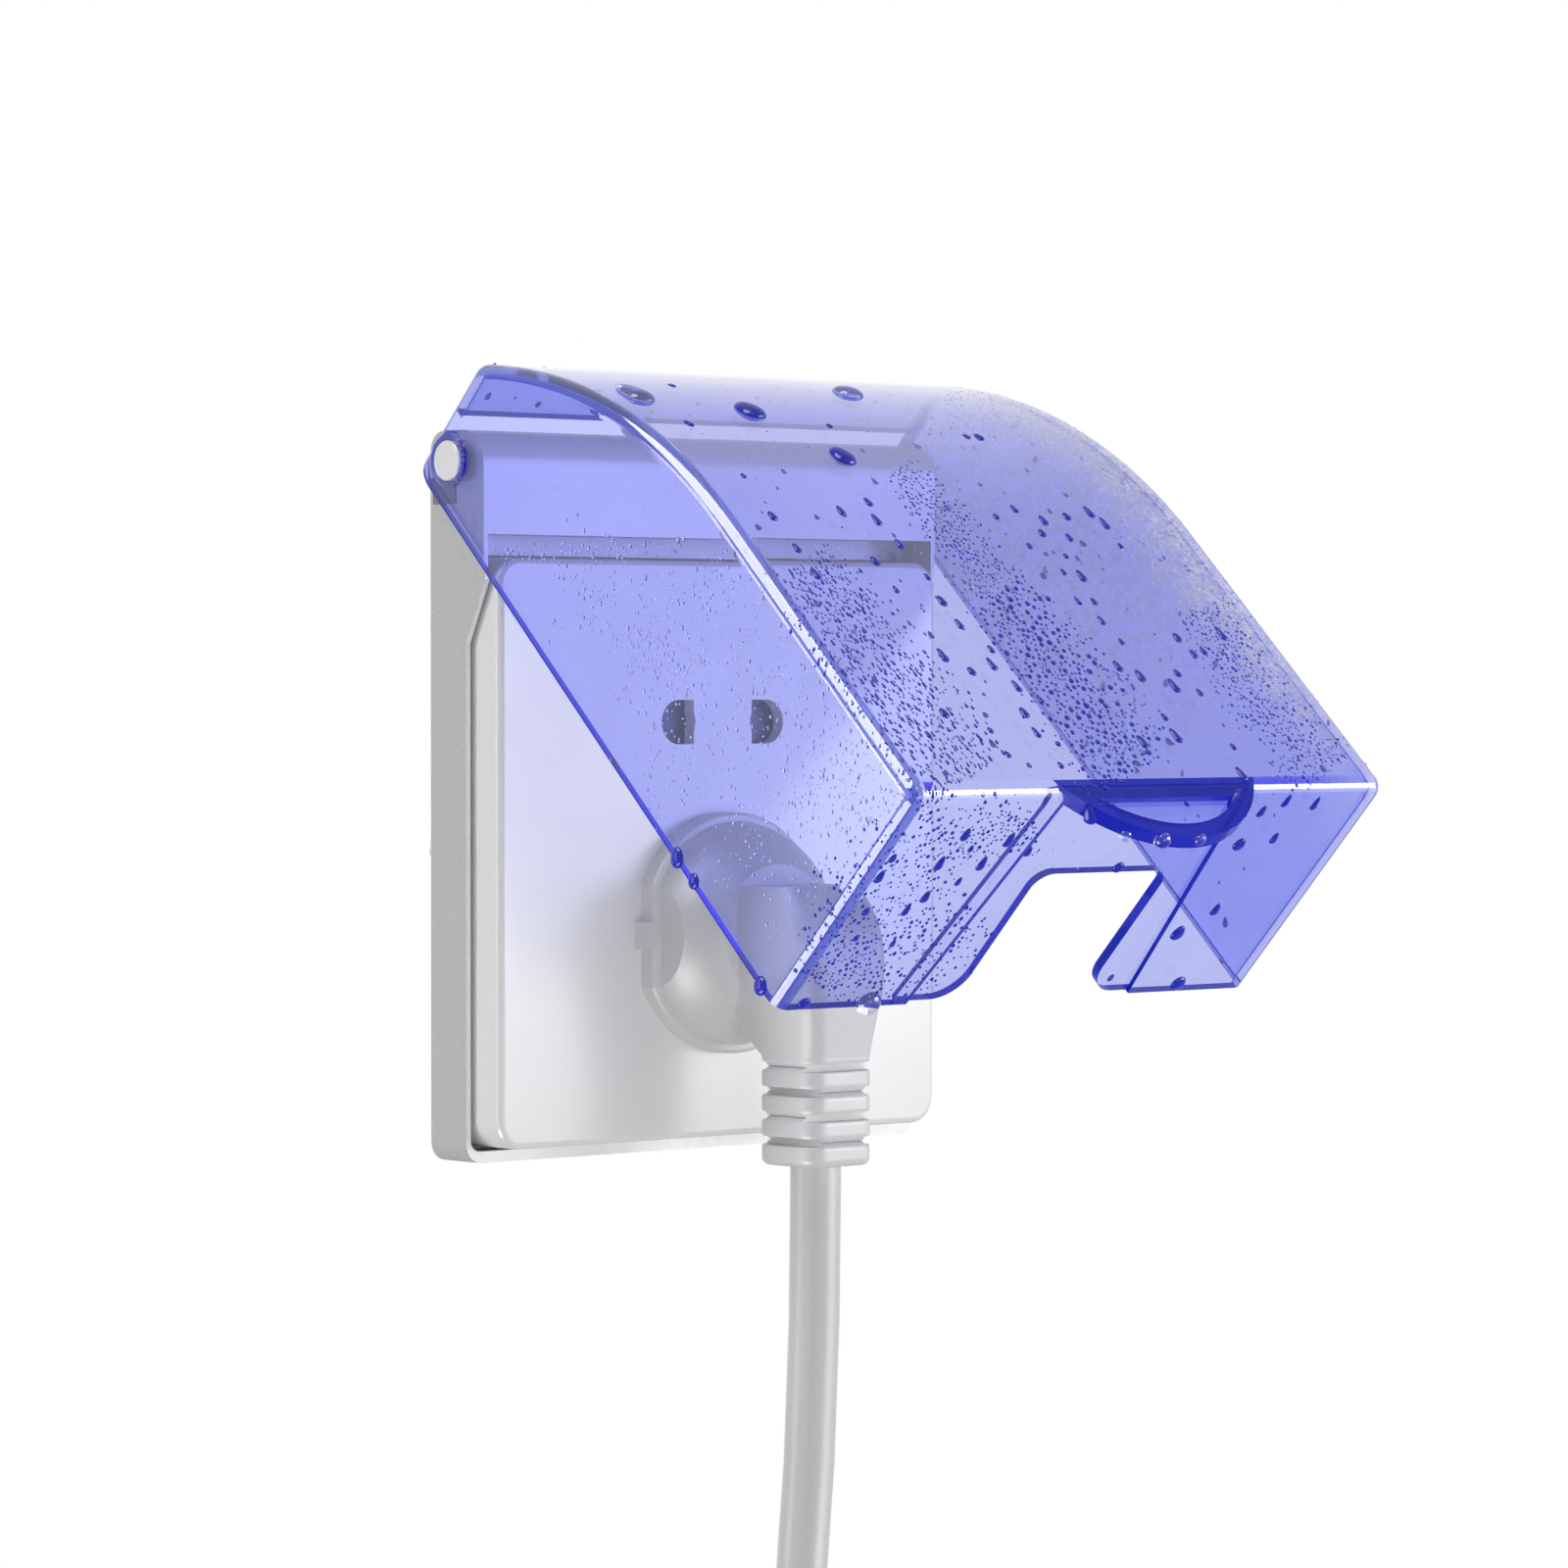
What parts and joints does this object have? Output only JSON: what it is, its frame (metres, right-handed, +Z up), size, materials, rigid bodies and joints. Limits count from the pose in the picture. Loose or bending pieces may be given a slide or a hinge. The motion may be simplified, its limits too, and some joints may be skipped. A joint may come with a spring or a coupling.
{
  "type": "waterproof socket box",
  "caption": "Wall socket with a clear blue splash lid on a hinge over a plugged-in right-angle plug; the lid's notch lets the lead out below.",
  "frame": {"origin": "on the wall, midway between the two mounting screws, behind the middle of the socket panel", "axes": "+Y into the wall, along the mounting screws; +Z up; +X to the right as one faces the wall"},
  "size_m": [0.1016, 0.1348, 0.3739],
  "materials": {
    "white_base": "moulded, satin gloss",
    "foam_seal": "closed-cell foam",
    "rubber_seal": "matte",
    "white_panel": "smooth gloss",
    "zinc_steel": "zinc plated",
    "screw_steel": "zinc plated",
    "mechanism_plastic": "matte moulded",
    "contact_brass": "stamped",
    "shutter_plastic": "matte dark",
    "spring_steel": "bright wire",
    "clear_blue": "clear tinted, wet",
    "white_pin": "smooth",
    "plug_white": "soft moulded",
    "bridge_white": "hard moulded",
    "pin_nickel": "nickel plated",
    "cord_white": "soft sheath",
    "tie_white": "woven strap"
  },
  "bodies": {
    "base": {"base_frame": "white_base", "wall_seal": "foam_seal", "panel_seal": "rubber_seal", "friction_pad_left": "rubber_seal", "friction_pad_right": "rubber_seal", "socket_panel": "white_panel", "mounting_frame": "zinc_steel", "mounting_screws": "screw_steel", "mechanism_housing": "mechanism_plastic", "contact_cover": "mechanism_plastic", "contact_cover_screws": "screw_steel", "live_contact": "contact_brass", "neutral_contact": "contact_brass", "earth_contact": "contact_brass", "terminal_clamps": "contact_brass", "terminal_screws": "screw_steel", "two_pin_shutter_spring": "spring_steel", "three_pin_shutter": "shutter_plastic", "three_pin_shutter_spring": "spring_steel", "hinge_pin_left": "white_pin", "hinge_pin_right": "white_pin", "plug_body": "plug_white", "plug_pin_bridge": "bridge_white", "plug_live_pin": "pin_nickel", "plug_neutral_pin": "pin_nickel", "plug_earth_pin": "pin_nickel", "cord_tube": "cord_white", "cord_coil": "cord_white", "cord_tail": "cord_white", "coil_tie_left": "tie_white", "coil_tie_right": "tie_white", "connector_body": "plug_white"},
    "lid": {"lid": "clear_blue"},
    "two_pin_shutter": {"two_pin_shutter": "shutter_plastic"}
  },
  "joints": [
    {"name": "lid_hinge", "type": "hinge", "parent": "base", "child": "lid", "pos_m": [0, -0.0069, 0.0571], "axis": [-1, 0, 0], "range_deg": [-36.7, 49.3]},
    {"name": "shutter_slide", "type": "slide", "parent": "base", "child": "two_pin_shutter", "axis": [1, 0, 0], "range_m": [0, 0.0073], "stiffness_N_per_m": 60, "springref_m": -0.003, "deforming": ["two_pin_shutter_spring"]}
  ]
}
